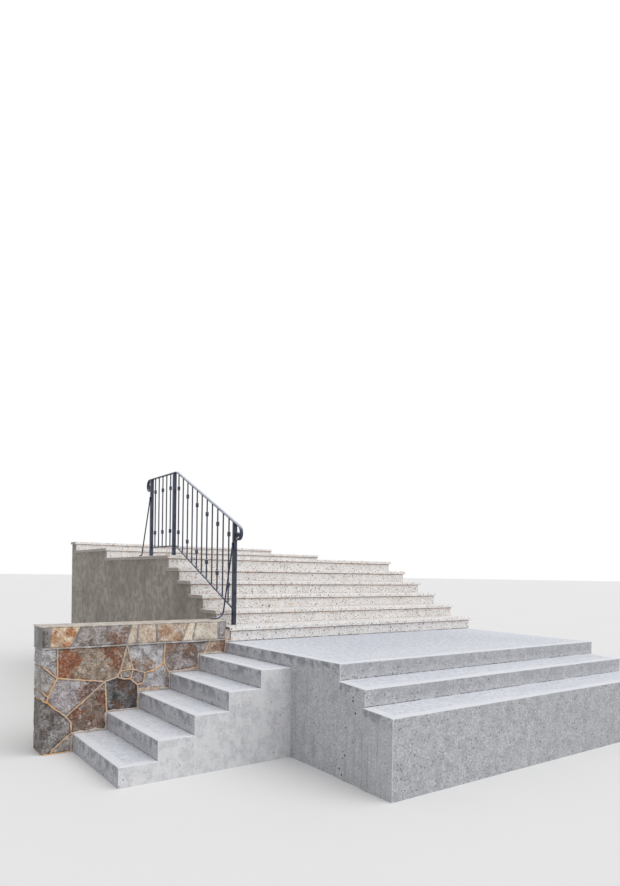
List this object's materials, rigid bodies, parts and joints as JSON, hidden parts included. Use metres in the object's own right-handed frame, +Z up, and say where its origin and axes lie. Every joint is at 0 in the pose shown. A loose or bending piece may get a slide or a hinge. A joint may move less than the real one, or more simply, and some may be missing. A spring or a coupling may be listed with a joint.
{
  "type": "concrete and terrazzo entry steps",
  "caption": "Entry steps of a house: concrete landing with two flights down, a terrazzo flight up to a porch, a stone side wall and a wrought iron balustrade.",
  "frame": {"origin": "under the middle of the landing, on the lowest level that the masonry bears on", "axes": "+Z up, +Y up the terrazzo flight towards the door, +X to the right seen from the front flight"},
  "size_m": [5.73, 8.235, 2.814],
  "materials": {
    "cast_concrete": "pale grey cast concrete, trowelled margins, pitted risers",
    "terrazzo": "honed cream terrazzo with small dark and ochre chips",
    "field_stone": "random split stone with raised mortar joints",
    "ironwork": "satin blue-charcoal paint"
  },
  "bodies": {
    "root": {"landing": "cast_concrete", "left_step_1": "cast_concrete", "left_step_2": "cast_concrete", "left_step_3": "cast_concrete", "left_step_4": "cast_concrete", "left_step_5": "cast_concrete", "front_step_1": "cast_concrete", "front_step_2": "cast_concrete", "flight_core": "cast_concrete", "porch_base": "cast_concrete", "recess_base": "cast_concrete", "sill_base": "cast_concrete", "tread_1": "terrazzo", "tread_2": "terrazzo", "tread_3": "terrazzo", "tread_4": "terrazzo", "tread_5": "terrazzo", "tread_6": "terrazzo", "riser_1": "terrazzo", "riser_2": "terrazzo", "riser_3": "terrazzo", "riser_4": "terrazzo", "riser_5": "terrazzo", "riser_6": "terrazzo", "riser_7": "terrazzo", "riser_8": "terrazzo", "left_cheek": "terrazzo", "right_cheek": "terrazzo", "porch_paving": "terrazzo", "recess_floor": "terrazzo", "door_sill": "terrazzo", "stone_wall": "field_stone", "wall_capping": "field_stone", "post_lower": "ironwork", "post_upper": "ironwork", "post_far": "ironwork", "handrail": "ironwork", "bottom_rail_flight": "ironwork", "bottom_rail_level": "ironwork", "balusters_flight": "ironwork", "balusters_level": "ironwork", "stay_lower": "ironwork", "stay_far": "ironwork"}
  },
  "joints": []
}
